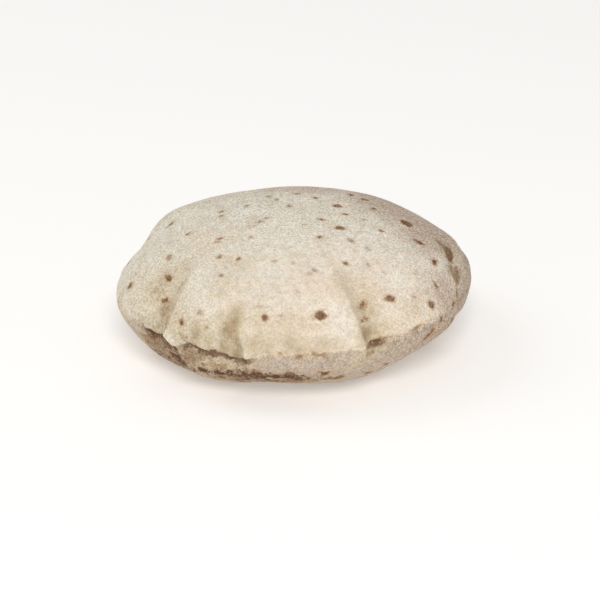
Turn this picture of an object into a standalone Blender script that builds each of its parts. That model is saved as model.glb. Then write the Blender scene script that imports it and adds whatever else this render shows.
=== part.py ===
"""A puffed chapati: one round of wholemeal dough that steam has blown up like a pillow.

Metres, +Z up. The origin is on the table under the middle of the bread, and -Y is its front.
A place on the skin is given by its bearing and its latitude, both in degrees. The bearing is
0 at the front, 90 at the right (+X) and -90 at the left. The latitude is 0 round the waist,
90 at the crown and -90 under the middle.
"""

import math
from collections import namedtuple

import bmesh
import bpy
from mathutils import Vector

# Driving dimensions, over everything.
WIDTH = 0.150
DEPTH = 0.140
HEIGHT = 0.0575

# How the bread is blown up, as shares of its height.
WAIST = 0.445  # the widest level, above the table
BELLY = 0.57  # how far the belly would hang below the waist if no table stopped it
FLAT_BLEND = 0.045  # how softly the belly turns into the flat spot that it rests on
LEAN = 0.01  # how much it leans to the left: the rise of the skin over its distance to the right

# The grid that the solid is cut into.
COLUMNS = 30  # on each of the cube's four sides, so the bread has four times as many
ROWS = 30
ROW_CROWDING = 0.3  # from 0, even rows, to 1, all of them near the seam
CAP_LATITUDE = 52.0  # above this, and below its opposite, the skin is one of the cube's end faces

# A pleat runs up the skin from the edge. Its crest is sharp on one side, where the valley lies.
# The crest starts at its bearing, and lean and curl turn it as the latitude and its square grow.
# Below the edge it goes on as a weaker fold, which drift and sway turn in the same manner.
Pleat = namedtuple("Pleat", "bearing lean curl width depth reach way drift sway", defaults=(0.0, 0.0))
PLEATS = (
    Pleat(
        bearing=-43.2, lean=0.17, curl=-0.006, width=7.5, depth=0.0054, reach=58, way=-1,
        drift=0.62, sway=-0.013,
    ),
    Pleat(bearing=-14.6, lean=-0.16, curl=0.0, width=4.6, depth=0.0026, reach=32, way=-1),
    Pleat(bearing=22.3, lean=-0.13, curl=0.002, width=5.0, depth=0.0048, reach=54, way=1),
    Pleat(bearing=62.5, lean=0.15, curl=0.008, width=7.0, depth=0.0034, reach=42, way=1),
    Pleat(bearing=122, lean=0.10, curl=0.0, width=5.0, depth=0.0024, reach=26, way=-1, drift=0.1),
    Pleat(bearing=158, lean=-0.10, curl=0.0, width=6.0, depth=0.0042, reach=46, way=1),
    Pleat(bearing=-158, lean=0.05, curl=0.0, width=5.0, depth=0.0034, reach=38, way=1, drift=0.1),
)
UNDER_SHARE = 0.6  # how deep a fold is below the edge, next to its pleat above
UNDER_REACH = 46.0

# A bulge is a soft swelling of the skin, or a hollow in it where its rise is below zero.
Bulge = namedtuple("Bulge", "bearing latitude width height rise")
BULGES = (
    Bulge(bearing=102, latitude=2, width=14, height=16, rise=0.0016),
    Bulge(bearing=106, latitude=34, width=22, height=14, rise=-0.0012),
    Bulge(bearing=-178, latitude=4, width=6, height=16, rise=-0.0018),
    Bulge(bearing=-134, latitude=30, width=16, height=24, rise=0.0006),
    Bulge(bearing=-122, latitude=30, width=12, height=14, rise=0.0014),
    Bulge(bearing=-92, latitude=26, width=18, height=20, rise=-0.0028),
    Bulge(bearing=-110, latitude=12, width=14, height=17, rise=-0.0030),
    Bulge(bearing=-80, latitude=-9, width=10, height=8, rise=0.0010),
    Bulge(bearing=-45, latitude=-32, width=34, height=26, rise=0.0026),
    Bulge(bearing=-12, latitude=-38, width=10, height=16, rise=-0.0010),
    Bulge(bearing=28, latitude=-42, width=16, height=14, rise=0.0014),
    Bulge(bearing=62, latitude=-26, width=34, height=22, rise=-0.0016),
    Bulge(bearing=78, latitude=-14, width=12, height=9, rise=0.0009),
)

# The seam, where the upper skin laps over the lower one, climbs to the right of the bread.
SEAM_RISE = 14.0
SEAM_RISE_BEARING = 96.0
SEAM_WIDTH = 3.6  # degrees of latitude
SEAM_DEPTH = 0.0008
LIP_SHARE = 0.5  # how far the upper skin stands out over the seam, next to the seam's depth
LIP_OFFSET = 1.7  # how far above the seam it stands out most, in widths of the seam

# The seam wavers all the way round, in waves of two lengths.
Waves = namedtuple("Waves", "height count start")
SEAM_WAVES = (Waves(height=0.7, count=7, start=40.0), Waves(height=0.5, count=17, start=0.0))

# A tuck is a stretch where the seam is pulled in deeper, or held out where its depth is below
# zero, and where it also runs higher or lower.
Tuck = namedtuple("Tuck", "bearing width depth rise")
TUCKS = (
    Tuck(bearing=-53, width=6.5, depth=0.0018, rise=-9.0),
    Tuck(bearing=-40.5, width=7, depth=0.0004, rise=-9.0),
    Tuck(bearing=-34.5, width=3.2, depth=0.0005, rise=4.5),
    Tuck(bearing=-25, width=8, depth=0.0014, rise=-5.0),
    Tuck(bearing=-16.5, width=5, depth=0.0006, rise=-7.0),
    Tuck(bearing=27, width=5, depth=0.0006, rise=-3.5),
    Tuck(bearing=52, width=17, depth=-0.0005, rise=0.0),
    Tuck(bearing=78, width=14, depth=0.0001, rise=1.0),
    Tuck(bearing=-80, width=15, depth=-0.0006, rise=-10.0),
    Tuck(bearing=128, width=8, depth=0.0016, rise=-2.0),
    Tuck(bearing=165, width=9, depth=0.0020, rise=1.5),
    Tuck(bearing=-150, width=10, depth=0.0018, rise=-1.0),
    Tuck(bearing=-108, width=8, depth=0.0014, rise=2.0),
)

SKIN_COLOUR = (0.76, 0.67, 0.53, 1.0)


def smooth_max(a, b, blend):
    """The larger of a and b, rounded where they are within blend of each other."""
    near = max(blend - abs(a - b), 0.0) / blend
    return max(a, b) + near * near * blend / 4


def turn_between(bearing, start):
    """How far bearing is past start, in degrees from -180 to 180."""
    return (bearing - start + 180.0) % 360.0 - 180.0


def bell(distance, width):
    return math.exp(-((distance / width) ** 2))


def seam_latitude(bearing):
    """The seam climbs towards the right, follows its tucks and wavers all the way round."""
    climb = SEAM_RISE * max(math.cos(math.radians(bearing - SEAM_RISE_BEARING)), 0.0) ** 3
    tucks = sum(tuck.rise * bell(turn_between(bearing, tuck.bearing), tuck.width) for tuck in TUCKS)
    turns = ((waves.height, waves.count * bearing + waves.start) for waves in SEAM_WAVES)
    return climb + tucks + sum(height * math.sin(math.radians(turn)) for height, turn in turns)


def seam_depth(bearing):
    tucks = sum(tuck.depth * bell(turn_between(bearing, tuck.bearing), tuck.width) for tuck in TUCKS)
    return SEAM_DEPTH + tucks


def seam_inset(bearing, latitude):
    """The crease under the upper skin's lip, less the lip itself."""
    above = (latitude - seam_latitude(bearing)) / SEAM_WIDTH
    return seam_depth(bearing) * (bell(above, 1.0) - LIP_SHARE * bell(above - LIP_OFFSET, 1.0))


def pleat_depth(pleat, bearing, latitude):
    """A valley that starts at the crest, is deepest one width beside it, and dies away."""
    if latitude > 0:
        crest = pleat.bearing + pleat.lean * latitude + pleat.curl * latitude * latitude
        depth, share = pleat.depth, latitude / pleat.reach
    else:
        crest = pleat.bearing - pleat.drift * latitude + pleat.sway * latitude * latitude
        depth, share = pleat.depth * UNDER_SHARE, -latitude / UNDER_REACH
    beside = pleat.way * turn_between(bearing, crest) / pleat.width
    if beside <= 0 or share >= 1:
        return 0.0
    return depth * (1 - share * share) ** 2 * beside * math.exp(1 - beside)


def bulge_rise(bulge, bearing, latitude):
    across = bell(turn_between(bearing, bulge.bearing), bulge.width)
    return bulge.rise * across * bell(latitude - bulge.latitude, bulge.height)


def inset(bearing, latitude):
    """How far the skin lies inside the smooth pillow, in metres."""
    total = seam_inset(bearing, latitude)
    total += sum(pleat_depth(pleat, bearing, latitude) for pleat in PLEATS)
    return total - sum(bulge_rise(bulge, bearing, latitude) for bulge in BULGES)


def skin_point(bearing, latitude):
    """The point of the skin at this bearing and latitude, with the table at the height 0."""
    turn, rise = math.radians(bearing), math.radians(latitude)
    half_width, half_depth = WIDTH / 2, DEPTH / 2
    up = (1 - WAIST) * HEIGHT if latitude > 0 else BELLY * HEIGHT
    outward = Vector((math.sin(turn) * math.cos(rise), -math.cos(turn) * math.cos(rise), math.sin(rise)))
    smooth = Vector((outward.x * half_width, outward.y * half_depth, outward.z * up))
    normal = Vector((outward.x / half_width, outward.y / half_depth, outward.z / up)).normalized()
    point = smooth - normal * inset(bearing, latitude)
    height = point.z + LEAN * point.x + WAIST * HEIGHT
    point.z = smooth_max(height, 0.0, FLAT_BLEND * HEIGHT)
    return point


def bearing_and_latitude(corner):
    """Where a point of the cube from -1 to 1 goes. Squares round its end faces become circles.

    The rows of its sides crowd towards the seam and run along it.
    """
    x, y, z = corner
    ring = max(abs(x), abs(y))
    if ring < 1e-6:
        return 0.0, math.copysign(90.0, z)
    if abs(x) >= abs(y):
        bearing = math.copysign(90.0, x) + 45.0 * y / x
    else:
        bearing = 45.0 * x / abs(y) if y < 0 else 180.0 - 45.0 * x / y
    if abs(z) > 1 - 1e-6:
        return bearing, math.copysign(90.0 - ring * (90.0 - CAP_LATITUDE), z)
    even = CAP_LATITUDE * z * (1 - ROW_CROWDING + ROW_CROWDING * z * z)
    return bearing, even + seam_latitude(bearing) * (1 - z * z) ** 2


def cube_grid(columns, rows):
    """A cube from -1 to 1. Its sides are cut into columns and rows, and its ends into columns each way."""
    side = 2.0
    cube = bmesh.new()
    bmesh.ops.create_cube(cube, size=side)
    for axis, cuts in ((2, rows - 1), (0, columns - 1), (1, columns - 1)):
        along = [
            edge
            for edge in cube.edges
            if abs(edge.verts[0].co[axis] - edge.verts[1].co[axis]) > side / 2
        ]
        bmesh.ops.subdivide_edges(cube, edges=along, cuts=cuts, use_grid_fill=True)
    return cube


def fit_to_size(form):
    """Stretches the form to the driving dimensions and centres it over the origin."""
    lows = Vector(min(vert.co[k] for vert in form.verts) for k in range(3))
    highs = Vector(max(vert.co[k] for vert in form.verts) for k in range(3))
    size = Vector((WIDTH, DEPTH, HEIGHT))
    for vert in form.verts:
        for k in range(3):
            middle = (lows[k] + highs[k]) / 2 if k < 2 else lows[k]
            vert.co[k] = (vert.co[k] - middle) * size[k] / (highs[k] - lows[k])


def flatten_foot(form):
    """Makes the flat spot under the bread one face."""
    foot = [face for face in form.faces if all(vert.co.z < 1e-6 for vert in face.verts)]
    for face in foot:
        for vert in face.verts:
            vert.co.z = 0.0
    bmesh.ops.dissolve_faces(form, faces=foot, use_verts=True)


def skin_material():
    material = bpy.data.materials.new("chapati_skin")
    material.use_nodes = True
    shader = material.node_tree.nodes["Principled BSDF"]
    shader.inputs["Base Color"].default_value = SKIN_COLOUR
    shader.inputs["Roughness"].default_value = 0.85
    shader.inputs["Metallic"].default_value = 0.0
    return material


def puffed_bread(name):
    form = cube_grid(COLUMNS, ROWS)
    for vert in form.verts:
        vert.co = skin_point(*bearing_and_latitude(vert.co))
    fit_to_size(form)
    flatten_foot(form)
    bmesh.ops.recalc_face_normals(form, faces=form.faces)
    mesh = bpy.data.meshes.new(name)
    form.to_mesh(mesh)
    form.free()
    mesh.shade_smooth()
    mesh.materials.append(skin_material())
    return bpy.data.objects.new(name, mesh)


def main():
    for old in list(bpy.data.objects):
        bpy.data.objects.remove(old)
    collection = bpy.data.collections.new("chapati")
    bpy.context.scene.collection.children.link(collection)
    collection.objects.link(puffed_bread("chapati"))


main()
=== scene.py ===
import math

import bmesh
import bpy
import numpy as np
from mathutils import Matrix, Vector, noise


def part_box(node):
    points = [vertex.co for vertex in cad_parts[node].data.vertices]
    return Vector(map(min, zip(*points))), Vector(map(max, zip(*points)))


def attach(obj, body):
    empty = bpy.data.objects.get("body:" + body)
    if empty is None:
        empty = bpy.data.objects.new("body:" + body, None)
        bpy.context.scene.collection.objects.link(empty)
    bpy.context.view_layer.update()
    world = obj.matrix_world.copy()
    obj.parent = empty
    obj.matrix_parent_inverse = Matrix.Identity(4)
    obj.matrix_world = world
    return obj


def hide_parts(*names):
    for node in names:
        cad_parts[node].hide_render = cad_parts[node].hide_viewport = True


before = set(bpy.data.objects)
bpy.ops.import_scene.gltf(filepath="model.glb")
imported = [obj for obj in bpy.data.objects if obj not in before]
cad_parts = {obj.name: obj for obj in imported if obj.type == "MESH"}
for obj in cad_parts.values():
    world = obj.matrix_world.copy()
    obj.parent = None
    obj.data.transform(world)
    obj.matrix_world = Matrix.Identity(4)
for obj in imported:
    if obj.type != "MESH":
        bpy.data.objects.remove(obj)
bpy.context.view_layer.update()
boxLow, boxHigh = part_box("chapati")
size = boxHigh - boxLow
print("frame: the bread is %.0f x %.0f x %.1f mm" % tuple(1000 * side for side in size))

# A place on the skin is given by its bearing and its latitude, in degrees. The bearing is 0 at the
# front, 90 at the right and -90 at the left. The latitude is 0 round the waist and 90 at the crown.
# Lengths are in mm, except in the camera, the light and the floor.
form = {
    "columns": 128,  # on each of the four sides of the cube that the skin is cut from
    "rows": 120,
    "rowCrowding": 0.35,  # from 0, even rows, to 1, all of them near the seam
    "columnPull": 0.6,  # how strongly the columns crowd towards a crest
    "columnReach": 11.0,
    "capLatitude": 52.0,
    "waist": 0.445,  # shares of the height, as in the solid
    "belly": 0.57,
    "flatBlend": 0.045,
    "lean": 0.01,
}

# A crest runs up from the edge, and the valley lies beside it, on the side that way gives.
# lap leans the crest over the valley, and rim rounds it up. tan and brown are how toasted the valley is
# painted above the edge, partly toast and partly painted shade of the hollow, and char is how burnt it is
# painted below.
pleats = [
    dict(bearing=-43.2, lean=0.17, curl=-0.006, drift=0.62, sway=0.013, width=7.5, depth=5.4, reach=58,
         way=-1, lap=0.7, rim=0.30, tanAndShade=1.0, brownAndShadow=0.2, charAndShadow=0.5),
    dict(bearing=-14.6, lean=-0.16, curl=0.0, drift=0.0, sway=0.0, width=4.6, depth=2.6, reach=32,
         way=-1, lap=0.15, rim=0.14, tanAndShade=1.6),
    dict(bearing=22.3, lean=-0.13, curl=0.002, drift=0.0, sway=0.0, width=5.0, depth=4.8, reach=54,
         way=1, lap=0.6, rim=0.35, tanAndShade=1.1, charAndShadow=0.15),
    dict(bearing=62.5, lean=0.15, curl=0.008, drift=0.0, sway=0.0, width=7.0, depth=3.4, reach=42,
         way=1, lap=0.4, rim=0.15, tanAndShade=1.0, brownAndShadow=1.0, charAndShadow=0.3),
    dict(bearing=122, lean=0.10, curl=0.0, drift=0.1, sway=0.0, width=5.0, depth=2.4, reach=26,
         way=-1, lap=0.5, rim=0.2, tanAndShade=0.8, brownAndShadow=0.2, charAndShadow=0.5),
    dict(bearing=158, lean=-0.10, curl=0.0, drift=0.0, sway=0.0, width=6.0, depth=4.2, reach=46,
         way=1, lap=0.6, rim=0.25, tanAndShade=0.9, brownAndShadow=0.2, charAndShadow=0.6),
    dict(bearing=-158, lean=0.05, curl=0.0, drift=0.1, sway=0.0, width=5.0, depth=3.4, reach=38,
         way=1, lap=0.5, rim=0.2, tanAndShade=0.8, charAndShadow=0.5),
]
underShare = 0.6  # how deep a fold is below the edge, next to its pleat above
underReach = 46.0

# soft swellings of the skin, and hollows where rise is below zero; a tan amount paints a hollow darker,
# partly painted shade
bulges = [
    dict(bearing=102, latitude=2, width=14, height=16, rise=1.6),
    dict(bearing=106, latitude=34, width=22, height=14, rise=-1.2),
    dict(bearing=-178, latitude=4, width=6, height=16, rise=-1.8, tanAndShade=0.8),
    dict(bearing=-134, latitude=30, width=16, height=24, rise=0.6),
    dict(bearing=-92, latitude=26, width=18, height=20, rise=-2.8),
    dict(bearing=-110, latitude=12, width=14, height=17, rise=-3.0),
    dict(bearing=-122, latitude=30, width=12, height=14, rise=1.4),
    dict(bearing=-80, latitude=-9, width=10, height=8, rise=1.0),
    dict(bearing=-45, latitude=-32, width=34, height=26, rise=2.6),
    dict(bearing=28, latitude=-42, width=16, height=14, rise=1.4),
    dict(bearing=62, latitude=-26, width=34, height=22, rise=-1.6),
    dict(bearing=78, latitude=-14, width=12, height=9, rise=0.9),
    dict(bearing=-12, latitude=-38, width=10, height=16, rise=-1.0),
]

# Places painted darker or paler: tan is a soft tint, brown is toast, char is burnt, ash is a dull grey, and
# flour is pale. Some are what the griddle and the flame browned, and some are partly painted shade: the tan
# in the valleys and the dent, the grey on the right side and the top rim, and the brown and char under the
# left fold and along the base.
toastAndShadePlaces = [
    # the valley left of the left crest: tan, partly painted shade of the hollow
    dict(bearing=-56, latitude=26, width=9, height=20, tanAndShade=1.0),
    dict(bearing=-49.5, latitude=15.5, width=4.8, height=15, tanAndShade=1.6),
    dict(bearing=-48, latitude=31, width=5, height=10, tanAndShade=0.9),
    dict(bearing=-62, latitude=8, width=12, height=14, tanAndShade=0.5),
    dict(bearing=-53, latitude=40, width=7, height=9, tanAndShade=0.7),
    dict(bearing=88, latitude=31, width=8, height=8, tanAndShade=0.9, brownAndShadow=0.8),
    dict(bearing=75.5, latitude=20, width=6.2, height=8, tanAndShade=1.2, brownAndShadow=1.35),
    dict(bearing=71, latitude=6, width=3.5, height=8, tanAndShade=1.1, brownAndShadow=0.8),
    # the valley right of the right crest: tan, partly painted shade of the hollow
    dict(bearing=25, latitude=10, width=5, height=11, tanAndShade=1.7),
    dict(bearing=25.5, latitude=26, width=6, height=14, tanAndShade=1.15),
    dict(bearing=22, latitude=41, width=6, height=10, tanAndShade=0.85),
    dict(bearing=43, latitude=17, width=7, height=8, tanAndShade=0.6),
    # round the dent in the front and by the left crest: tan, partly painted shade of the hollows
    dict(bearing=-21.3, latitude=13, width=5, height=11, tanAndShade=1.6),
    dict(bearing=-19.8, latitude=21, width=4, height=10, tanAndShade=1.55),
    dict(bearing=-32, latitude=8, width=10, height=13, tanAndShade=1.1),
    dict(bearing=-27, latitude=5, width=6, height=9, tanAndShade=1.2),
    dict(bearing=-39, latitude=13, width=7, height=16, tanAndShade=0.8, ashAndShade=0.3),
    dict(bearing=-11.5, latitude=7, width=7, height=10, tanAndShade=1.05),
    dict(bearing=-5.5, latitude=9, width=5, height=10, tanAndShade=1.0),
    dict(bearing=-1, latitude=8, width=5, height=10, tanAndShade=1.0),
    dict(bearing=2, latitude=4, width=5, height=7, tanAndShade=0.95),
    dict(bearing=9, latitude=6, width=8, height=9, tanAndShade=0.8),
    dict(bearing=-9, latitude=20, width=24, height=11, tanAndShade=0.55),
    dict(bearing=-3, latitude=40, width=26, height=12, tanAndShade=0.22),
    dict(bearing=-30, latitude=42, width=12, height=12, tanAndShade=0.4),
    dict(bearing=5, latitude=52, width=6, height=5, tanAndShade=0.35),
    dict(bearing=-27, latitude=51, width=7, height=5, tanAndShade=0.4),
    dict(bearing=14, latitude=22, width=8, height=16, flour=0.8),
    dict(bearing=31, latitude=52, width=13, height=11, flour=0.5),
    dict(bearing=45, latitude=37, width=8, height=10, flour=0.6),
    dict(bearing=2, latitude=33, width=14, height=9, flour=0.5),
    # under the left fold: brown and char, partly painted shadow of the fold
    dict(bearing=-46, latitude=-14, width=6, height=8, tanAndShade=1.0, brownAndShadow=1.4, charAndShadow=0.6),
    dict(bearing=-42, latitude=-22, width=5, height=10, tanAndShade=1.0, brownAndShadow=1.6, charAndShadow=1.15),
    dict(bearing=-53, latitude=-13.5, width=6.5, height=9, tanAndShade=1.0, brownAndShadow=1.2),
    dict(bearing=-50, latitude=-25, width=9, height=8, tanAndShade=1.0, brownAndShadow=1.4, charAndShadow=0.7),
    dict(bearing=-78, latitude=-8, width=18, height=9, tanAndShade=0.9),
    dict(bearing=-35, latitude=-14, width=7, height=9, tanAndShade=1.0, brownAndShadow=0.8),
    dict(bearing=-33, latitude=-8, width=8, height=6, tanAndShade=1.0, brownAndShadow=0.9),
    dict(bearing=-34.5, latitude=3, width=4, height=4, tanAndShade=1.0, brownAndShadow=0.5),
    dict(bearing=-16, latitude=-14, width=6, height=5, tanAndShade=1.0, brownAndShadow=0.7),
    dict(bearing=-24, latitude=-15, width=12, height=6, tanAndShade=1.3, brownAndShadow=0.3),
    # along the base: the burnt line, partly painted contact shadow
    dict(bearing=-12, latitude=-29, width=26, height=8, tanAndShade=1.1, brownAndShadow=1.1, charAndShadow=0.6),
    dict(bearing=14, latitude=-28, width=6, height=3, brownAndShadow=1.0),
    dict(bearing=25, latitude=-8, width=7, height=7, tanAndShade=1.15, brownAndShadow=0.2),
    # the right side and the top rim: dull grey, partly painted shade where they turn from the light
    dict(bearing=102, latitude=30, width=20, height=28, ashAndShade=1.3),
    dict(bearing=120, latitude=50, width=34, height=18, ashAndShade=1.1),
    dict(bearing=60, latitude=16, width=9, height=15, ashAndShade=0.9),
    dict(bearing=88, latitude=44, width=24, height=13, ashAndShade=0.9),
    dict(bearing=62, latitude=-10, width=26, height=16, ashAndShade=0.9),
    dict(bearing=170, latitude=60, width=50, height=12, ashAndShade=0.6),
    dict(bearing=18, latitude=-15, width=8, height=7, tanAndShade=0.5),
    dict(bearing=150, latitude=22, width=26, height=16, tanAndShade=0.45),
    dict(bearing=-140, latitude=16, width=20, height=14, tanAndShade=0.5),
    dict(bearing=0, latitude=-80, width=360, height=34, tanAndShade=0.8, brownAndShadow=0.5),
]

# the dark line along the front of the base: partly burn where the griddle was hottest, and partly painted
# contact shadow where the bread meets the floor
baseCharAndShadow = {"bearing": -14, "width": 20, "latitude": -21.5, "sag": 0.004, "height": 6.0, "charAndShadow": 0.98}

# The seam where the upper skin laps over the lower one, and the tucks that pull it in. A tuck's
# rise is how much higher the seam runs there, and its ragged how torn its lip is and how dark the line
# painted in the crease under it, partly char and partly painted shade.
seam = {
    "rise": 14.0,
    "riseBearing": 96.0,
    "width": 3.6,
    "depth": 0.8,
    "lipShare": 0.5,
    "lipOffset": 1.7,
    "lipDrop": 1.1,  # how far the torn lip hangs over the crease, in degrees
    "waves": [(0.7, 7, 40.0), (0.5, 17, 0.0)],  # height, how many there are round the bread, and start
    "tucks": [
        dict(bearing=-53, width=6.5, depth=1.8, rise=-9.0, ragged=1.0),
        dict(bearing=-40.5, width=7, depth=0.4, rise=-9.0, ragged=0.5),
        dict(bearing=-34.5, width=3.2, depth=0.5, rise=4.5, ragged=0.3),
        dict(bearing=-25, width=8, depth=1.4, rise=-5.0, ragged=1.0),
        dict(bearing=-16.5, width=5, depth=0.6, rise=-7.0, ragged=0.6),
        dict(bearing=27, width=5, depth=0.6, rise=-3.5, ragged=0.85),
        dict(bearing=52, width=17, depth=-0.5, rise=0.0, ragged=0.1, soft=1.0),
        dict(bearing=78, width=14, depth=0.1, rise=1.0, ragged=0.2),
        dict(bearing=-80, width=15, depth=-0.6, rise=-10.0, soft=1.0),
        dict(bearing=128, width=8, depth=1.6, rise=-2.0, ragged=0.7),
        dict(bearing=165, width=9, depth=2.0, rise=1.5, ragged=0.8),
        dict(bearing=-150, width=10, depth=1.8, rise=-1.0, ragged=0.7),
        dict(bearing=-108, width=8, depth=1.4, rise=2.0, ragged=0.5),
    ],
}

# the low relief of the baked skin: wavelength and height of each layer
relief = {
    "lumps": (17.0, 0.28),
    "blisters": (6.0, 0.11),
    "grain": (2.2, 0.035),
    "wrinkles": 0.22,  # small upright wrinkles that the edge draws the skin into
    "wrinkleReach": 11.0,
}


def bell(distance, width):
    return np.exp(-((distance / width) ** 2))


def turnBetween(bearing, start):
    return (bearing - start + 180.0) % 360.0 - 180.0


def alongTucks(bearing, what):
    near = (bell(turnBetween(bearing, tuck["bearing"]), tuck["width"]) for tuck in seam["tucks"])
    return sum(tuck.get(what, 0) * share for tuck, share in zip(seam["tucks"], near))


def nearPlace(place, bearing, latitude):
    # 1 in the middle of the place, fading over its width and height
    across = bell(turnBetween(bearing, place["bearing"]), place["width"])
    return across * bell(latitude - place["latitude"], place["height"])


def seamLatitude(bearing):
    climb = seam["rise"] * np.maximum(np.cos(np.radians(bearing - seam["riseBearing"])), 0.0) ** 3
    turns = ((height, np.radians(count * bearing + start)) for height, count, start in seam["waves"])
    return climb + alongTucks(bearing, "rise") + sum(height * np.sin(turn) for height, turn in turns)


def besideCrest(pleat, bearing, latitude):
    # degrees past the crest, towards the valley, and how much of the pleat is left at that height
    upper = latitude > 0
    crest = np.where(upper, pleat["bearing"] + pleat["lean"] * latitude + pleat["curl"] * latitude ** 2,
                     pleat["bearing"] - pleat["drift"] * latitude - pleat["sway"] * latitude ** 2)
    share = np.where(upper, latitude / pleat["reach"], -latitude / underReach)
    fade = np.clip(1 - share ** 2, 0, 1) ** 2
    return pleat["way"] * turnBetween(bearing, crest), fade


def valleyShape(beside, width):
    distance = np.maximum(beside / width, 0.0)
    return distance * np.exp(1 - distance)


def skinPoints(bearing, latitude, inset):
    # inset in mm, along the pillow's own normal
    waist, belly, blend = (form[key] for key in ("waist", "belly", "flatBlend"))
    turn, rise = np.radians(bearing), np.radians(latitude)
    outward = np.stack((np.sin(turn) * np.cos(rise), -np.cos(turn) * np.cos(rise), np.sin(rise)), axis=1)
    halves = np.empty_like(outward)
    halves[:, 0] = size.x / 2
    halves[:, 1] = size.y / 2
    halves[:, 2] = np.where(latitude > 0, 1 - waist, belly) * size.z
    normal = outward / halves
    normal /= np.linalg.norm(normal, axis=1)[:, None]
    points = outward * halves - normal * (inset / 1000)[:, None]
    height = points[:, 2] + form["lean"] * points[:, 0] + waist * size.z
    near = np.maximum(blend * size.z - np.abs(height), 0) / (blend * size.z)
    points[:, 2] = np.maximum(height, 0) + near ** 2 * blend * size.z / 4
    return points


def cubeGrid(columns, rows):
    side = 2.0
    cube = bmesh.new()
    bmesh.ops.create_cube(cube, size=side)
    for axis, cuts in ((2, rows - 1), (0, columns - 1), (1, columns - 1)):
        along = [edge for edge in cube.edges
                 if abs(edge.verts[0].co[axis] - edge.verts[1].co[axis]) > side / 2]
        bmesh.ops.subdivide_edges(cube, edges=along, cuts=cuts, use_grid_fill=True)
    return cube


def placesOnSkin(corners):
    # The cube from -1 to 1 becomes bearings and latitudes, with the squares round its ends as circles.
    x, y, z = corners.T
    ring = np.maximum(np.abs(x), np.abs(y))
    safe = np.where(ring < 1e-6, 1.0, ring)
    sideways = np.abs(x) >= np.abs(y)
    bearing = np.where(sideways, np.copysign(90.0, x) + 45.0 * y / np.where(x == 0, 1, x),
                       np.where(y < 0, 45.0 * x / safe, 180.0 - 45.0 * x / safe))
    even = form["capLatitude"] * z * (1 - form["rowCrowding"] + form["rowCrowding"] * z * z)
    side = even + seamLatitude(bearing) * (1 - z * z) ** 2
    cap = np.copysign(90.0 - ring * (90.0 - form["capLatitude"]), z)
    latitude = np.where(np.abs(z) > 1 - 1e-6, cap, side)
    bearing = np.where(ring < 1e-6, 0.0, bearing)
    for pleat in pleats:
        beside, fade = besideCrest(pleat, bearing, latitude)
        pull = form["columnPull"] * fade * bell(beside, form["columnReach"])
        bearing = bearing - pleat["way"] * beside * pull
    return turnBetween(bearing, 0.0), latitude


def layerOfNoise(points, wavelength, seed):
    offset = Vector((seed * 11.3, seed * 7.9, seed * 3.1))
    return np.array([noise.noise(Vector(point) * (1000 / wavelength) + offset) for point in points])


grid = cubeGrid(form["columns"], form["rows"])
corners = np.array([vert.co[:] for vert in grid.verts])
bearing, latitude = placesOnSkin(corners)
even = skinPoints(bearing, latitude, np.zeros_like(bearing))
print("skin: %d points" % len(bearing))

# what the seam does at each point
seamAt = seamLatitude(bearing)
ragged = alongTucks(bearing, "ragged")
seamAt = seamAt + (0.5 + 2.6 * ragged) * layerOfNoise(even, 3.0, 1)
seamAt = seamAt + (0.4 + 3.2 * ragged) * layerOfNoise(even, 8.0, 6)
above = (latitude - seamAt) / seam["width"]
depthAt = seam["depth"] + alongTucks(bearing, "depth")
inset = depthAt * (bell(above, 1.0) - seam["lipShare"] * bell(above - seam["lipOffset"], 1.0))

# pleats, with their valleys and crests
shift = np.zeros_like(bearing)
# toast amounts on the skin, which also carry painted shade and shadow
toastAndShade = {kind: np.zeros_like(bearing) for kind in ("tanAndShade", "brownAndShadow", "charAndShadow", "ashAndShade", "flour")}
for pleat in pleats:
    beside, fade = besideCrest(pleat, bearing, latitude)
    share = np.where(latitude > 0, 1.0, underShare)
    hollow = valleyShape(beside, pleat["width"])
    inset += pleat["depth"] * share * fade * hollow
    inset -= pleat["rim"] * fade * bell(beside + 1.2, 1.3)
    shift += pleat["way"] * pleat["lap"] * fade * bell(beside, 2.2)
    # the valley mask: toast, and painted shade of the hollow
    valleyToastAndShade = np.sqrt(fade) * valleyShape(beside + 0.5, pleat["width"] * 0.8)
    for kind in toastAndShade:
        there = (latitude < seamAt) if kind == "charAndShadow" else (latitude > seamAt - 1)
        toastAndShade[kind] = np.maximum(toastAndShade[kind], np.where(there, pleat.get(kind, 0), 0) * valleyToastAndShade)

for bulge in bulges:
    swell = nearPlace(bulge, bearing, latitude)
    inset -= bulge["rise"] * swell
    toastAndShade["tanAndShade"] = np.maximum(toastAndShade["tanAndShade"], bulge.get("tanAndShade", 0) * swell)
for place in toastAndShadePlaces:
    spread = nearPlace(place, bearing, latitude)
    for kind in toastAndShade:
        toastAndShade[kind] = np.maximum(toastAndShade[kind], place.get(kind, 0) * spread)
# the line along the base, partly char and partly painted contact shadow
hottest = turnBetween(bearing, baseCharAndShadow["bearing"])
line = bell(latitude - baseCharAndShadow["latitude"] + baseCharAndShadow["sag"] * hottest ** 2, baseCharAndShadow["height"])
line = line * bell(hottest / baseCharAndShadow["width"], 1.0) ** 0.5
toastAndShade["charAndShadow"] = np.maximum(toastAndShade["charAndShadow"], baseCharAndShadow["charAndShadow"] * line)

# low relief
inset -= relief["lumps"][1] * layerOfNoise(even, relief["lumps"][0], 2)
inset -= relief["blisters"][1] * layerOfNoise(even, relief["blisters"][0], 3)
inset -= relief["grain"][1] * layerOfNoise(even, relief["grain"][0], 4)
stretched = np.stack((bearing * 0.33, latitude * 0.05, np.full_like(bearing, 5.0)), axis=1)
upright = np.array([noise.noise(Vector(place)) for place in stretched])
inset -= relief["wrinkles"] * upright * bell(latitude - seamAt - 4, relief["wrinkleReach"])

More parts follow.
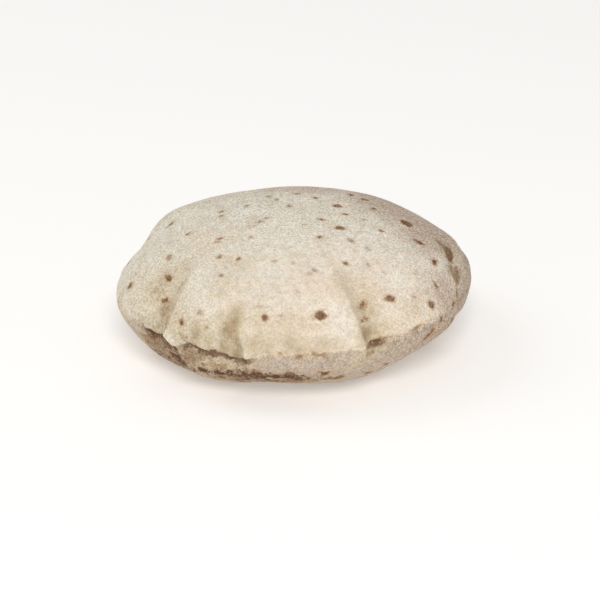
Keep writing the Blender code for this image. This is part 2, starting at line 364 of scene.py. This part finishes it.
# the torn lip hangs down over the crease, and each crest leans over its valley
drop = seam["lipDrop"] * (0.25 + ragged) * bell(above - 0.9, 0.55)
points = skinPoints(bearing + shift, latitude - drop, inset)

# fitted to the solid's box, with its foot flat on the floor
low, high = points.min(axis=0), points.max(axis=0)
points = (points - low) / (high - low) * np.array(size) + np.array(boxLow)
for vert, point in zip(grid.verts, points):
    vert.co = point
bmesh.ops.recalc_face_normals(grid, faces=grid.faces)
mesh = bpy.data.meshes.new("breadSkin")
grid.to_mesh(mesh)
grid.free()
mesh.shade_smooth()
bread = bpy.data.objects.new("breadSkin", mesh)
bpy.context.scene.collection.objects.link(bread)
print("skin: shaped")

# Toasted spots, each as (bearing, latitude, length, width, turn, tone). turn is how far the spot's
# length is turned up from the level, and tone goes from 0, hardly tanned, to 1, nearly burnt.
toasted = {
    "front": [
        (8.8, 25.4, 4.8, 3.7, 8, 0.95), (-10, 24.5, 3.0, 2.6, -20, 0.6), (-11.7, 25.3, 2.0, 1.0, 0, 0.3),
        (-4.5, 25.8, 1.4, 1.2, 0, 0.34), (-12, 30.5, 3.4, 1.8, 0, 0.28), (1.5, 39, 1.8, 1.4, 0, 0.25),
        (23.6, 20.5, 1.7, 1.3, 0, 0.58), (25.3, 21.2, 2.0, 1.5, 0, 0.85), (25.7, 30, 3.6, 2.6, 28, 0.6),
        (36, 29, 4.4, 2.9, -30, 0.62), (-33.2, 44.5, 1.4, 1.2, 0, 0.45), (-32.8, 22, 2.6, 2.4, 0, 0.36),
        (-29.2, 13.7, 1.5, 1.3, 0, 0.45), (-38.3, 13.2, 2.7, 1.9, 105, 0.75), (-37.6, 33.8, 0.9, 0.9, 0, 0.2),
        (10, 51, 1.9, 1.9, 0, 0.36), (7.3, 49.2, 2.6, 2.2, 0, 0.36), (27, 52.6, 2.3, 1.7, -35, 0.7),
        (37.8, 49.2, 1.5, 1.6, 0, 0.52), (41.5, 42.8, 1.4, 1.4, 0, 0.4), (-0.5, 55.7, 1.2, 1.3, 0, 0.28),
        (-11.3, 56.5, 1.8, 1.7, 0, 0.38), (46, 25, 1.5, 1.3, 0, 0.42), (55.2, 36, 1.5, 1.3, 0, 0.18),
    ],
    "left": [
        (-57.3, 33.8, 3.4, 2.9, 30, 0.95), (-59.5, 35, 1.8, 1.3, 60, 0.35), (-61, 35.7, 1.6, 1.0, 60, 0.25),
        (-51.6, 23.2, 2.1, 1.9, 0, 0.92), (-52.9, 21.3, 2.1, 1.8, 0, 0.92), (-73.2, 15, 3.7, 2.7, 45, 0.78),
        (-67.6, 41.7, 3.2, 2.4, 0, 0.5), (-105, 43.3, 4.6, 2.4, -20, 0.6), (-80.5, 53, 2.2, 1.8, 80, 0.5),
        (-48.5, 35, 1.3, 1.6, 0, 0.35), (-60, 22.3, 1.3, 1.1, 0, 0.3), (-54.5, 28, 1.0, 0.9, 0, 0.2),
        (-97, 13, 4.2, 2.0, 0, 0.7), (-52, 42, 2.2, 1.8, 30, 0.15), (-47, 41, 1.6, 1.2, 0, 0.15),
    ],
    "right": [
        (95, 51, 5.6, 6.6, 80, 1.0), (77.6, 45, 4.6, 3.0, 78, 1.0), (68.7, 34.4, 4.1, 2.6, 0, 0.92),
        (85.5, 29.2, 12.0, 5.0, 8, 0.9), (89, 36, 4.2, 2.4, 30, 0.42), (58, 24.5, 2.8, 1.3, 70, 0.85),
        (50.5, 16.3, 3.3, 3.0, 90, 0.88), (53.6, 1.2, 3.0, 1.5, 60, 0.9), (57, 4, 1.2, 0.8, 60, 0.45),
        (42.7, 4.2, 4.4, 1.9, 10, 0.5),
        (49, -5.5, 3.6, 1.6, 60, 0.9), (47, -8.5, 3.6, 1.5, 60, 0.88), (50.5, -8, 2.4, 1.2, 20, 0.75),
        (62, 7, 2.6, 1.6, 40, 0.65), (66, 3, 3.0, 1.9, 60, 0.9), (64, -3, 2.4, 1.5, 50, 0.8),
        (97, 37, 3.4, 1.6, 60, 0.4), (101, 31, 3.0, 1.4, 50, 0.4), (98, 24, 2.8, 1.4, 70, 0.35),
        (73, 8, 4.6, 1.3, 80, 0.42), (69, -2, 5.0, 1.6, 75, 0.85), (61.5, -5, 3.6, 1.5, 50, 0.8),
    ],
    "top": [
        (117.5, 74.4, 3.9, 4.2, 63, 0.58), (52.8, 71.4, 4.4, 2.9, -52, 0.62), (24, 70, 2.1, 2.1, -24, 0.68),
        (44, 63.3, 2.8, 2.3, -90, 0.46), (90, 73.6, 2.4, 2.0, -89, 0.6), (56, 79.7, 1.4, 2.1, 0, 0.7),
        (155, 73.6, 2.2, 2.7, 23, 0.6), (141.5, 58.8, 2.4, 3.3, 37, 0.72), (129.5, 58.6, 4.2, 3.5, 49, 0.6),
        (111, 61.5, 2.4, 2.4, 69, 0.6), (73, 60, 1.7, 2.0, -70, 0.65),
        (47, 57, 1.2, 1.5, 0, 0.36), (84, 67, 1.7, 1.9, 0, 0.35), (-105, 64.8, 2.3, 2.2, 90, 0.48),
        (-96, 65.7, 2.1, 1.8, 90, 0.48), (-118.5, 72, 1.8, 2.3, -61, 0.48), (-153.4, 71, 2.3, 3.2, 0, 0.4),
        (-156, 76, 1.7, 2.2, 0, 0.35), (178, 69, 2.5, 3.2, 0, 0.5), (-164, 84, 1.8, 2.9, 0, 0.55),
        (-58, 76.7, 3.2, 1.6, 88, 0.4), (-64.5, 80, 2.0, 1.3, 88, 0.46), (-53, 74, 1.3, 1.8, 0, 0.35),
        (-39.5, 67.8, 1.7, 2.0, 0, 0.42), (-57.5, 61, 1.7, 2.6, 0, 0.68), (-55.3, 59.3, 2.0, 1.8, 60, 0.5),
        (-42.5, 53.2, 1.6, 1.9, 0, 0.55), (-31.7, 55, 1.5, 1.8, 0, 0.6), (18, 79.5, 1.5, 1.9, 0, 0.35),
    ],
    "edge": [
        (27.8, -0.4, 4.8, 2.0, 14, 1.0), (24.2, -2.5, 2.8, 1.6, 25, 0.4), (34.5, -3, 2.2, 0.9, 0, 0.35),
        (30, -2.5, 2.2, 2.0, 0, 0.5),
        (34.7, -28, 2.0, 1.3, 0, 0.88), (-7.5, 1, 2.2, 1.0, 0, 0.3), (-4.4, 0.6, 3.0, 1.2, 0, 0.45),
        (1.5, -2.5, 2.6, 1.7, -20, 0.48), (3.5, -1, 1.6, 1.2, 0, 0.25), (6.2, -0.3, 2.2, 1.6, -30, 0.42),
        (9.2, -2.3, 2.6, 1.6, -20, 0.45),
    ],
    # along the base: dark spots of the burnt line, partly painted contact shadow
    "base": [
        (-31.5, -21.5, 4.2, 4.0, -10, 1.0), (-26, -22.5, 3.4, 3.2, 0, 1.0), (-19.5, -25.5, 2.8, 3.4, 0, 1.0),
        (-12.3, -21, 5.6, 8.0, -5, 1.0), (-6, -21.5, 3.0, 4.0, 0, 1.0), (-1.5, -20.5, 4.6, 6.4, 0, 1.0),
        (10, -20, 3.8, 3.0, 35, 1.0), (8, -17.5, 1.6, 2.0, 0, 0.7), (-26, -28, 2.6, 3.2, 0, 1.0),
        (-35.5, -24.5, 2.2, 2.6, -30, 0.97), (29, -34, 3.2, 2.0, 0, 0.8), (-9, -28, 3.0, 2.6, 0, 1.0),
        (15.5, -28, 4.4, 5.0, 0, 0.6), (1.5, -26.5, 4.4, 3.2, 0, 1.0), (-17, -28.5, 3.4, 2.6, 0, 1.0),
    ],
    "back": [
        (150, 34, 3.6, 2.6, 20, 0.8), (172, 22, 2.4, 2.0, 0, 0.7), (-170, 40, 3.0, 2.2, -30, 0.75),
        (-150, 18, 4.2, 3.0, 10, 0.85), (-140, 46, 2.0, 1.6, 0, 0.6), (-128, 14, 2.6, 2.2, 60, 0.7),
        (138, 12, 3.0, 2.4, 40, 0.8), (120, 28, 2.2, 1.4, 70, 0.6), (112, 10, 2.6, 2.0, 0, 0.7),
        (-162, 8, 1.8, 1.4, 0, 0.5), (-104, 30, 2.2, 1.8, 20, 0.55), (160, 52, 1.6, 1.2, 0, 0.5),
    ],
    "under": [
        (-70, -40, 9.0, 6.0, 10, 0.6), (-20, -38, 7.0, 3.0, 0, 0.5), (20, -52, 8.0, 5.0, 30, 0.7),
        (80, -44, 10.0, 6.0, 0, 0.65), (130, -36, 7.0, 5.0, 20, 0.6), (175, -46, 9.0, 6.0, 0, 0.7),
        (-130, -40, 8.0, 5.0, -20, 0.6), (-100, -60, 9.0, 7.0, 0, 0.7), (150, -66, 8.0, 6.0, 50, 0.7),
        (60, -70, 10.0, 8.0, 0, 0.75), (-40, -72, 9.0, 7.0, 20, 0.75),
    ],
}


def frameAt(bearingThere, latitudeThere):
    # the point of the skin at one place, with its level direction and its upward one
    step = 0.5
    turns = bearingThere + np.array((0.0, step, 0.0))
    rises = latitudeThere + np.array((0.0, 0.0, step))
    here, beside, over = skinPoints(turns, rises, np.zeros(3))
    level, up = beside - here, over - here
    level /= np.linalg.norm(level)
    up -= level * up.dot(level)
    return here, level, up / np.linalg.norm(up)


spotGap = np.full(len(points), 9.0)
spotTone = np.zeros(len(points))
for spots in toasted.values():
    for spotBearing, spotLatitude, length, width, turn, tone in spots:
        centre, level, up = frameAt(spotBearing, spotLatitude)
        away = (points - centre) * 1000
        turned = math.radians(turn)
        along = away @ (level * math.cos(turned) + up * math.sin(turned))
        across = away @ (up * math.cos(turned) - level * math.sin(turned))
        beyond = np.sqrt((along * 2 / length) ** 2 + (across * 2 / width) ** 2) - 1
        gap = np.where(np.linalg.norm(away, axis=1) < 3 * length + 8, beyond * min(length, width) / 2, 9.0)
        nearer = gap < spotGap
        spotGap = np.where(nearer, gap, spotGap)
        spotTone = np.where(nearer & (gap < 4), tone, spotTone)


def keepOnMesh(name, values):
    mesh.attributes.new(name, "FLOAT", "POINT").data.foreach_set("value", values.astype(np.float32))


keepOnMesh("spotGap", spotGap)
keepOnMesh("spotTone", spotTone)
keepOnMesh("seamGap", np.clip((latitude - seamAt) * 0.56, -30, 30))
keepOnMesh("ragged", ragged)
keepOnMesh("seamSoft", alongTucks(bearing, "soft"))
for kind in toastAndShade:
    keepOnMesh(kind, toastAndShade[kind])
# the front is stretched smooth, and the crown, the sides and the underside are coarser
smooth = bell(turnBetween(bearing, 2.0), 62.0) * bell(np.maximum(latitude - 52.0, 0), 20.0)
smooth *= 0.5 + 0.5 * np.clip((latitude - seamAt + 2.0) / 4.0, 0, 1)
keepOnMesh("coarse", 1.0 - 0.85 * smooth)
keepOnMesh("streak", 0.5 + upright)
# the front share, painted warmer and lighter, partly painted light
keepOnMesh("warmLitFront", bell(turnBetween(bearing, 16.0), 40.0) * bell(np.maximum(latitude - 42.0, 0), 22.0))
print("skin: %d toasted spots" % sum(len(spots) for spots in toasted.values()))


class Wire:
    # a shader value; sums on it add Math nodes
    def __init__(self, tree, socket):
        self.tree = tree
        self.socket = socket

    def maths(self, operation, *values):
        node = self.tree.nodes.new("ShaderNodeMath")
        node.operation = operation
        for slot, value in zip(node.inputs, values):
            if isinstance(value, Wire):
                self.tree.links.new(value.socket, slot)
            else:
                slot.default_value = value
        return Wire(self.tree, node.outputs[0])

    def __add__(self, other):
        return self.maths("ADD", self, other)

    def __radd__(self, other):
        return self.maths("ADD", other, self)

    def __sub__(self, other):
        return self.maths("SUBTRACT", self, other)

    def __rsub__(self, other):
        return self.maths("SUBTRACT", other, self)

    def __mul__(self, other):
        return self.maths("MULTIPLY", self, other)

    def __rmul__(self, other):
        return self.maths("MULTIPLY", other, self)


def colour(code):
    # "e5d6bc" as the linear colour that a shader takes
    parts = (int(code[at:at + 2], 16) / 255 for at in (0, 2, 4))
    linear = (part / 12.92 if part <= 0.04045 else ((part + 0.055) / 1.055) ** 2.4 for part in parts)
    return (*linear, 1.0)


class Finish:
    def __init__(self, name, **uniform):
        self.material = bpy.data.materials.new(name)
        self.material.use_nodes = True
        self.tree = self.material.node_tree
        self.shader = self.tree.nodes["Principled BSDF"]
        for socket, value in uniform.items():
            self.shader.inputs[socket.replace("_", " ")].default_value = value
        self.place = self.node("ShaderNodeTexCoord", output="Object")

    def node(self, kind, settings=None, values=None, output=0):
        made = self.tree.nodes.new(kind)
        for key, value in (settings or {}).items():
            setattr(made, key, value)
        for key, value in (values or {}).items():
            self.feed(made.inputs[key], value)
        return Wire(self.tree, made.outputs[output])

    def feed(self, socket, value):
        if isinstance(value, Wire):
            self.tree.links.new(value.socket, socket)
        else:
            socket.default_value = value

    def attribute(self, name):
        return self.node("ShaderNodeAttribute", {"attribute_name": name}, output="Fac")

    def cloud(self, wavelength, detail=2.0, roughness=0.5, shift=0.0, inward=1.0):
        # soft noise from 0 to 1, with blotches of about that many mm, longer towards the back below 1
        move = {"Vector": self.place, "Location": (shift, 2 * shift, -shift), "Scale": (1.0, inward, 1.0)}
        place = self.node("ShaderNodeMapping", values=move)
        kind = {"Vector": place, "Scale": 1000 / wavelength, "Detail": detail, "Roughness": roughness}
        return self.node("ShaderNodeTexNoise", values=kind)

    def cells(self, wavelength):
        # distance to the nearest of many scattered points, in shares of their spacing
        return self.node("ShaderNodeTexVoronoi", values={"Vector": self.place, "Scale": 1000 / wavelength},
                         output="Distance")

    def ease(self, value, start, end):
        # 0 at start to 1 at end, smoothly
        return self.node("ShaderNodeMapRange", {"interpolation_type": "SMOOTHSTEP"},
                         {"Value": value, "From Min": start, "From Max": end})

    def blend(self, share, under, over):
        return self.node("ShaderNodeMix", {"data_type": "RGBA"}, {0: share, 6: under, 7: over}, output=2)


crust = {
    "cream": colour("e9e1cf"),
    "warmCream": colour("f6e3cf"),
    "paleFlour": colour("f5eddd"),
    "greyCream": colour("d8cdb8"),
    "peach": colour("ecd8c0"),
    "ashAndShade": colour("c2ac9a"),
    "tanAndShade": colour("d0bfa0"),
    "deepTanAndShade": colour("a58c6b"),
    "toastAndShade": colour("8f7157"),
    "charAndShadow": colour("563725"),
    "underLight": colour("cdbfb1"),
    "underGreyAndShade": colour("ad9d8e"),
    "underTan": colour("b99f84"),
    "darkFleck": colour("a58c70"),
    "halo": colour("c6a47c"),
    "spot": colour("8c6a4e"),
    "heart": colour("5a3622"),
    "roughness": 0.82,
    "grainBump": 0.4,
    "grainHeight": 0.0007,
}

skin = Finish("chapatiCrust", Roughness=crust["roughness"], Specular_IOR_Level=0.25, Subsurface_Weight=0.05,
              Subsurface_Radius=(0.004, 0.002, 0.001), Subsurface_Scale=1.0)
seamGap, soft, ragged = (skin.attribute(name) for name in ("seamGap", "seamSoft", "ragged"))
gap, tone = (skin.attribute(name) for name in ("spotGap", "spotTone"))
tanAndShade, brownAndShadow, charAndShadow, ashAndShade, flour = (skin.attribute(name) for name in ("tanAndShade", "brownAndShadow", "charAndShadow", "ashAndShade", "flour"))
coarse, warmLitFront, streak = (skin.attribute(name) for name in ("coarse", "warmLitFront", "streak"))

# clouds of several sizes, each from 0 to 1
patches = skin.cloud(20.0, detail=3.0, roughness=0.55)
uneven = skin.cloud(7.0, detail=3.0, roughness=0.6, shift=0.11)
small = skin.cloud(3.2, detail=3.0, roughness=0.65, shift=0.31)
fine = skin.cloud(1.6, detail=2.0, roughness=0.6, shift=0.57)
grain = skin.ease(skin.cloud(0.8, detail=1.0, roughness=0.6, shift=0.77), 0.34, 0.66)
pecks = skin.cloud(2.4, detail=3.0, roughness=0.75, shift=0.43, inward=0.45)
specks = skin.cloud(1.1, detail=2.0, roughness=0.7, shift=0.91, inward=0.45)
frayed = skin.ease(pecks, 0.32, 0.68) + 0.7 * skin.ease(specks, 0.32, 0.68) - 0.85

# floury ground: cream, painted warmer and lighter at the front, partly painted light where the light falls
# full on it, in broad patches
ground = skin.blend(warmLitFront, crust["cream"], crust["warmCream"])
ground = skin.blend(skin.ease(patches, 0.50, 0.68) * 0.5, ground, crust["peach"])
ground = skin.blend(skin.ease(patches, 0.50, 0.34) * 0.5, ground, crust["paleFlour"])
mottle = uneven + 0.3 * (small - 0.5)
ground = skin.blend(skin.ease(mottle, 0.50, 0.34) * 0.4, ground, crust["paleFlour"])
ground = skin.blend(skin.ease(mottle, 0.48, 0.68) * (0.45 - 0.15 * coarse), ground, crust["tanAndShade"])
ground = skin.blend(skin.ease(small, 0.50, 0.34) * 0.2 * coarse, ground, crust["greyCream"])
ground = skin.blend(skin.ease(flour + 0.4 * (uneven - 0.5), 0.0, 1.0) * 0.8, ground, crust["paleFlour"])
# dull grey, partly painted shade on the right side and the top rim
ashenAndShaded = ashAndShade + 0.5 * (uneven - 0.5) + 0.3 * (small - 0.5)
ground = skin.blend(skin.ease(ashenAndShaded, 0.0, 0.9) * 0.85, ground, crust["ashAndShade"])

# the underside, below the seam, is painted greyer and blotched, partly its own tone and partly painted shade
# where it faces down
blotch = uneven - 0.5 + 0.8 * (pecks - 0.5) + 0.6 * (specks - 0.5)
below = skin.ease(seamGap + (2.4 + 4.0 * soft) * blotch, 0.4 + 1.8 * soft, -1.2 - 1.8 * soft)
under = skin.blend(skin.ease(blotch, -0.20, 0.25), crust["underGreyAndShade"], crust["underTan"])
floury = skin.ease(pecks + 0.6 * (specks - 0.5), 0.32, 0.66)
under = skin.blend(floury * (0.8 - 0.5 * ashAndShade), under, crust["underLight"])
ground = skin.blend(below * 0.92, ground, under)

# tan hollows and patches: toast, and painted shade in the valleys and the dent
streaked = 0.5 * (streak - 0.5) * skin.ease(seamGap, 14.0, 3.0)
tinted = tanAndShade * (1.0 + streaked + 0.9 * (uneven - 0.5) + 0.6 * (small - 0.5))
ground = skin.blend(skin.node("ShaderNodeClamp", values={"Value": tinted}) * 0.9, ground, crust["tanAndShade"])
ground = skin.blend(skin.ease(tinted + 1.1 * coarse * frayed, 0.75, 1.75) * 0.85, ground, crust["deepTanAndShade"])

# toasted spots: a tan halo, a brown body and a darker heart
rim = gap + 1.7 * (small - 0.5) + 1.4 * (fine - 0.5) + 0.9 * frayed * skin.ease(tone, 0.85, 1.0)
ring = skin.ease(rim, 0.5, 1.0) * skin.ease(rim, 1.9, 1.2) * skin.ease(seamGap, 2.5, 5.0)
ground = skin.blend(ring * tone * 0.15, ground, crust["paleFlour"])
halo = skin.ease(rim, 1.4, 0.1) * skin.ease(tone, 0.0, 0.8)
ground = skin.blend(halo * 0.55, ground, crust["halo"])
body = skin.ease(rim, 0.40, -0.45) * skin.ease(tone, 0.0, 0.75)
ground = skin.blend(body * (0.9 + 0.25 * frayed), ground, crust["spot"])
heart = skin.ease(rim, 0.1, -0.7) * skin.ease(tone, 0.40, 0.95) * (0.6 + 0.6 * frayed)
ground = skin.blend(heart, ground, crust["heart"])

# browned places, and burnt ones with the burnt spots; the brown and char here also paint shadow under the
# left fold and along the base
toastyAndShadowed = skin.ease(brownAndShadow + 0.8 * (uneven - 0.5) + 0.35 * frayed, 0.25, 0.95)
ground = skin.blend(toastyAndShadowed * (0.75 + 0.35 * frayed), ground, crust["toastAndShade"])
charredAndShadowed = charAndShadow + skin.ease(gap + 1.2 * frayed, 0.5, -0.7) * skin.ease(tone, 0.95, 1.0) * 0.5
burntAndShadowed = skin.ease(charredAndShadowed + 0.65 * frayed + 0.4 * (uneven - 0.5), 0.32, 0.92)
ground = skin.blend(burntAndShadowed * 0.8, ground, crust["toastAndShade"])
ground = skin.blend(skin.ease(charredAndShadowed + 1.0 * frayed, 0.75, 1.20) * 0.9, ground, crust["charAndShadow"])

# the torn seam: a dark line painted in the crease under the lip, partly char and partly painted shade of the
# crease
torn = seamGap + 1.1 * frayed + 1.4 * (small - 0.5) + 0.8
creaseCharAndShade = skin.ease(torn * torn, 2.6, 0.2) * skin.ease(ragged + 0.7 * (uneven - 0.5), 0.30, 0.85)
ground = skin.blend(creaseCharAndShade * 0.85, ground, crust["toastAndShade"])
ground = skin.blend(creaseCharAndShade * skin.ease(uneven + 0.7 * (small - 0.5), 0.38, 0.62) * 0.6, ground, crust["charAndShadow"])

# wholemeal flecks
flecks = skin.ease(skin.cells(2.6) + 0.25 * (grain - 0.5), 0.18, 0.06) * skin.ease(uneven, 0.42, 0.60)
ground = skin.blend(flecks * (0.08 + 0.25 * coarse), ground, crust["darkFleck"])

# grain over everything
rough = coarse + 0.8 * ashAndShade
lightness = 1.0 + (0.10 + 0.34 * rough) * (grain - 0.5) + (0.35 - 0.12 * coarse) * (fine - 0.5)
lightness = lightness + 0.35 * rough * (specks - 0.5)
lightness = lightness + (0.7 - 0.5 * coarse) * (small - 0.5) + (0.35 - 0.3 * coarse) * (uneven - 0.5)
ground = skin.node("ShaderNodeVectorMath", {"operation": "SCALE"}, {0: ground, "Scale": lightness})
skin.feed(skin.shader.inputs["Base Color"], ground)
skin.feed(skin.shader.inputs["Roughness"], 0.72 + 0.16 * small)
heightMap = grain * 0.5 * (0.3 + 0.7 * coarse) + small * 0.6 - body * 0.4
relieved = {"Strength": crust["grainBump"], "Distance": crust["grainHeight"], "Height": heightMap}
bump = skin.node("ShaderNodeBump", values=relieved, output="Normal")
skin.feed(skin.shader.inputs["Normal"], bump)
mesh.materials.append(skin.material)
print("crust: material made")

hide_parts("chapati")
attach(bread, "root")

# floor, light and camera, in metres
studio = {
    "floorSize": 5.0,
    "floorColour": colour("f4f2ef"),
    "floorGlow": 0.25,
    "ambient": 0.48,
    # azimuth from the front towards the right, elevation, distance, size and power
    "key": (4.0, 46.0, 2.2, 1.0, 19.4),
    "fill": (-110.0, 42.0, 2.2, 1.4, 6.0),
    "cameraElevation": 25.0,
    "cameraDistance": 1.0,
    "lens": 142.0,
    "aimRight": 0.0023,  # what the camera points at, from the middle of the waist
    "aimDown": 0.0078,
}

floorMesh = bpy.data.meshes.new("floor")
floorGrid = bmesh.new()
bmesh.ops.create_grid(floorGrid, x_segments=1, y_segments=1, size=studio["floorSize"] / 2)
floorGrid.to_mesh(floorMesh)
floorGrid.free()
floor = bpy.data.objects.new("floor", floorMesh)
floor.location.z = boxLow.z - 0.0002
bpy.context.scene.collection.objects.link(floor)
board = Finish("floorPaint", Roughness=0.9, Base_Color=studio["floorColour"], Specular_IOR_Level=0.1,
               Emission_Color=(1.0, 1.0, 1.0, 1.0), Emission_Strength=studio["floorGlow"])
floorMesh.materials.append(board.material)

world = bpy.data.worlds.new("studio")
world.use_nodes = True
world.node_tree.nodes["Background"].inputs["Color"].default_value = (1.0, 1.0, 1.0, 1.0)
world.node_tree.nodes["Background"].inputs["Strength"].default_value = studio["ambient"]
bpy.context.scene.world = world


def direction(azimuth, elevation):
    turn, rise = math.radians(azimuth), math.radians(elevation)
    return Vector((math.sin(turn) * math.cos(rise), -math.cos(turn) * math.cos(rise), math.sin(rise)))


middle = Vector((0.0, 0.0, boxLow.z + form["waist"] * size.z))
for name in ("key", "fill"):
    azimuth, elevation, distance, across, power = studio[name]
    away = direction(azimuth, elevation)
    light = bpy.data.lights.new(name, "AREA")
    light.shape = "DISK"
    light.size = across
    light.energy = power
    lamp = bpy.data.objects.new(name, light)
    lamp.location = middle + away * distance
    lamp.rotation_euler = away.to_track_quat("Z", "Y").to_euler()
    bpy.context.scene.collection.objects.link(lamp)

back = direction(0.0, studio["cameraElevation"])
upward = direction(180.0, 90.0 - studio["cameraElevation"])
aim = middle + Vector((studio["aimRight"], 0, 0)) - upward * studio["aimDown"]
camera = bpy.data.objects.new("camera", bpy.data.cameras.new("camera"))
camera.data.lens = studio["lens"]
camera.data.sensor_width = 36.0
camera.location = aim + back * studio["cameraDistance"]
camera.rotation_euler = back.to_track_quat("Z", "Y").to_euler()
bpy.context.scene.collection.objects.link(camera)
bpy.context.scene.camera = camera
bpy.context.scene.view_settings.view_transform = "Standard"
print("studio: floor, light and camera")
